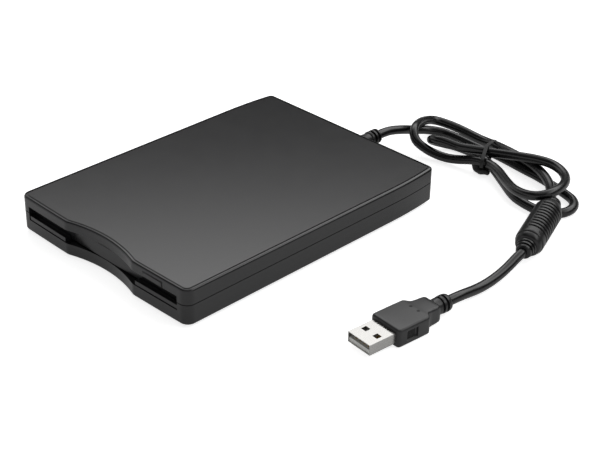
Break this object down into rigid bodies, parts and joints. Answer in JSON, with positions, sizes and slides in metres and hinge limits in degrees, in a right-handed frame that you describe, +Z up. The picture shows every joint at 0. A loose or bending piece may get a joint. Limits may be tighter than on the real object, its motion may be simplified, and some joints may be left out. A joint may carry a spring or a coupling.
{
  "type": "external floppy disk drive",
  "caption": "Slim external 3.5 inch floppy disk drive with a scalloped front, sprung slot flap, eject button, drive mechanism and a hanked USB cord with ferrite.",
  "frame": {"origin": "on the table, under the middle of the casing", "axes": "-Y is the disk slot and front, +Y the back where the cord leaves, +X the right side with the eject button, +Z up"},
  "size_m": [0.168, 0.208, 0.0169],
  "materials": {
    "casing": "fine satin grain",
    "flap": "fine satin grain",
    "button": "satin",
    "cord_jacket": "semi-gloss PVC",
    "cord_moulding": "satin PVC moulding",
    "tie": "satin",
    "ferrite": "dull ceramic",
    "plug_steel": "nickel-plated",
    "plug_liner": "moulded",
    "gold": "gold-plated",
    "feet": "matt",
    "screws": "black-oxide",
    "zinc_sheet": "zinc-plated sheet",
    "spring_wire": "drawn wire",
    "grey_moulding": "glass-filled",
    "white_moulding": "moulded",
    "circuit_board": "solder mask",
    "chips": "moulded",
    "lamination": "stamped",
    "copper": "enamelled wire",
    "bronze": "sintered",
    "machined_steel": "machined",
    "head_ceramic": "lapped",
    "wire_jacket": "PVC",
    "ribbon": "polyimide"
  },
  "bodies": {
    "casing": {"top_cover": "casing", "bottom_cover": "casing", "sill_strips": "casing", "door_spring": "spring_wire", "rubber_feet": "feet", "case_screws": "screws", "chassis_frame": "zinc_sheet", "shield_plate": "zinc_sheet", "eject_springs": "spring_wire", "chassis_screws": "machined_steel", "drive_board": "circuit_board", "drive_chips": "chips", "stator_core": "lamination", "stator_coils": "copper", "spindle_bearing": "bronze", "guide_rod": "machined_steel", "rod_clips": "grey_moulding", "screw_bearing": "grey_moulding", "stepper_bracket": "zinc_sheet", "stepper_motor": "machined_steel", "sensor_switches": "white_moulding", "bridge_board": "circuit_board", "bridge_chip": "chips", "crystal_can": "machined_steel", "cable_header": "white_moulding", "board_screws": "machined_steel", "ribbon_cable": "ribbon", "cable_wires": "wire_jacket", "strain_relief": "cord_moulding", "cord_lead": "cord_jacket", "cord_hank": "cord_jacket", "cord_link": "cord_jacket", "cord_tail": "cord_jacket", "twist_tie": "tie", "ferrite_cover": "cord_moulding", "ferrite_core": "ferrite", "plug_overmould": "cord_moulding", "plug_shell": "plug_steel", "plug_insulator": "plug_liner", "plug_contacts": "gold"},
    "eject": {"eject_button": "button", "eject_slider": "zinc_sheet"},
    "carrier": {"disk_carrier": "zinc_sheet"},
    "latch": {"latch_lever": "grey_moulding"},
    "flap": {"slot_door": "flap"},
    "spindle": {"spindle_rotor": "machined_steel", "spindle_hub": "machined_steel"},
    "head": {"head_carriage": "grey_moulding", "lower_head": "head_ceramic", "arm_pin": "machined_steel"},
    "arm": {"upper_head_arm": "grey_moulding", "upper_head": "head_ceramic"},
    "screw": {"lead_screw": "machined_steel"},
    "write_protect": {"write_protect_plunger": "grey_moulding"},
    "density": {"density_plunger": "grey_moulding"},
    "disk_in": {"disk_in_plunger": "grey_moulding"}
  },
  "joints": [
    {"name": "eject_slide", "type": "slide", "parent": "casing", "child": "eject", "axis": [0, 1, 0], "range_m": [-0.004, 0]},
    {"name": "carrier_lift", "type": "slide", "parent": "casing", "child": "carrier", "axis": [0, 0, 1], "range_m": [-0.0022, 0]},
    {"name": "latch_swing", "type": "hinge", "parent": "carrier", "child": "latch", "pos_m": [0.03, 0.01, 0.01375], "axis": [0, 0, -1], "range_deg": [0, 25], "stiffness_Nm_per_rad": 0.002, "springref_deg": -11.46},
    {"name": "flap_swing", "type": "hinge", "parent": "casing", "child": "flap", "pos_m": [0, -0.0669, 0.0137], "axis": [1, 0, 0], "range_deg": [0, 88], "stiffness_Nm_per_rad": 0.002, "springref_deg": -17.19},
    {"name": "spindle_spin", "type": "hinge", "parent": "casing", "child": "spindle", "pos_m": [0, -0.018, 0.006], "axis": [0, 0, 1], "continuous": true},
    {"name": "head_step", "type": "slide", "parent": "casing", "child": "head", "axis": [0, 1, 0], "range_m": [-0.0148, 0]},
    {"name": "screw_turn", "type": "hinge", "parent": "casing", "child": "screw", "pos_m": [0.014, 0.027, 0.0086], "axis": [0, 1, 0], "range_deg": [-1780, 0]},
    {"name": "arm_lower", "type": "hinge", "parent": "head", "child": "arm", "pos_m": [0, 0.05, 0.0099], "axis": [1, 0, 0], "range_deg": [0, 9.1]},
    {"name": "write_protect_press", "type": "slide", "parent": "casing", "child": "write_protect", "axis": [0, 0, 1], "range_m": [-0.0012, 0], "stiffness_N_per_m": 400, "springref_m": 0.0006},
    {"name": "density_press", "type": "slide", "parent": "casing", "child": "density", "axis": [0, 0, 1], "range_m": [-0.0012, 0], "stiffness_N_per_m": 400, "springref_m": 0.0006},
    {"name": "disk_in_press", "type": "slide", "parent": "casing", "child": "disk_in", "axis": [0, 0, 1], "range_m": [-0.0012, 0], "stiffness_N_per_m": 400, "springref_m": 0.0006}
  ],
  "couplings": [
    {"joint": "carrier_lift", "follows": "eject_slide", "ratio": 0.55},
    {"joint": "arm_lower", "follows": "eject_slide", "rad_per_m": -39.706},
    {"joint": "screw_turn", "follows": "head_step", "rad_per_m": 2094.4}
  ]
}
